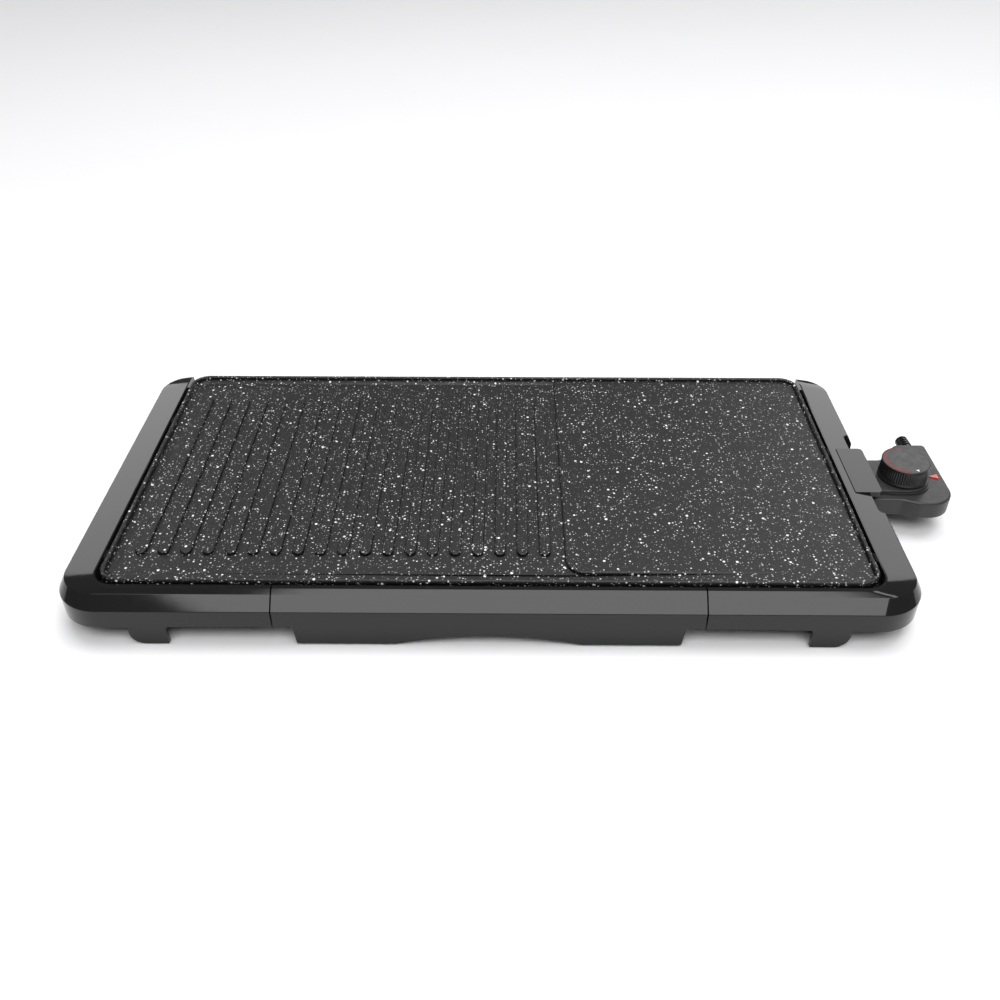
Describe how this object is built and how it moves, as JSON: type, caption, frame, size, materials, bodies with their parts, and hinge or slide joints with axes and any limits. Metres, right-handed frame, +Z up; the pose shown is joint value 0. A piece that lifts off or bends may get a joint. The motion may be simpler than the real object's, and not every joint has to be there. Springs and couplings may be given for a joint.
{
  "type": "electric griddle",
  "caption": "Electric griddle: ribbed and flat non-stick plate in a dark frame, with a front drip tray and a plug-in heat control on the right.",
  "frame": {"origin": "middle of the whole object's footprint, on the surface it stands on", "axes": "+X to the right along the griddle towards the heat control, +Y to the back, +Z up"},
  "size_m": [0.5918, 0.2703, 0.0457],
  "materials": {
    "frame_plastic": "glossy dark grey moulding",
    "plate_coating": "die-cast, dark speckled non-stick coating",
    "sheet_steel": "zinc-plated sheet",
    "screw_steel": "zinc-plated",
    "shield_aluminium": "mill finish sheet",
    "element_sheath": "heat-tinted stainless tube",
    "contact_metal": "plain",
    "insulator": "off-white ceramic",
    "foot_rubber": "matt",
    "control_plastic": "fine matt texture",
    "knob_plastic": "fine matt texture, ribbed side",
    "lens_red": "translucent red",
    "lamp_glass": "clear"
  },
  "bodies": {
    "base": {"left_frame": "frame_plastic", "right_frame": "frame_plastic", "rear_rail": "frame_plastic", "front_crossbar": "sheet_steel", "rear_crossbar": "sheet_steel", "frame_screws": "screw_steel", "foot_pads": "foot_rubber", "reflector_pan": "shield_aluminium", "heating_element": "element_sheath", "terminal_pins": "contact_metal", "terminal_bushings": "insulator", "terminal_bracket": "sheet_steel", "element_supports": "sheet_steel", "plate_clips": "sheet_steel", "tray_runners": "sheet_steel"},
    "plate": {"griddle_plate": "plate_coating", "drain_spout": "plate_coating"},
    "drip_tray": {"drip_tray": "shield_aluminium", "tray_front": "frame_plastic", "tray_screws": "screw_steel"},
    "control": {"control_lower_housing": "control_plastic", "control_upper_housing": "control_plastic", "housing_screws": "screw_steel", "indicator_lens": "lens_red", "sensor_probe": "element_sheath", "contact_sleeves": "contact_metal", "contact_carrier": "insulator", "thermostat_bracket": "sheet_steel", "bimetal_blade": "contact_metal", "switch_blades": "contact_metal", "contact_points": "contact_metal", "blade_holder": "insulator", "stop_post": "screw_steel", "neon_lamp": "lamp_glass", "strain_relief": "foot_rubber", "cord_clamp": "control_plastic", "clamp_screws": "screw_steel"},
    "knob": {"control_knob": "knob_plastic", "knob_shaft": "screw_steel", "stop_cam": "control_plastic"}
  },
  "joints": [
    {"name": "plate_lift", "type": "slide", "parent": "base", "child": "plate", "axis": [0, 0, 1], "range_m": [0, 0.06]},
    {"name": "tray_slide", "type": "slide", "parent": "base", "child": "drip_tray", "axis": [0, -1, 0], "range_m": [0, 0.18]},
    {"name": "control_unplug", "type": "slide", "parent": "base", "child": "control", "axis": [1, 0, 0], "range_m": [0, 0.105]},
    {"name": "knob_turn", "type": "hinge", "parent": "control", "child": "knob", "pos_m": [0.26495, 0.00415, 0.03], "axis": [0, 0, 1], "range_deg": [-255, 70]}
  ]
}
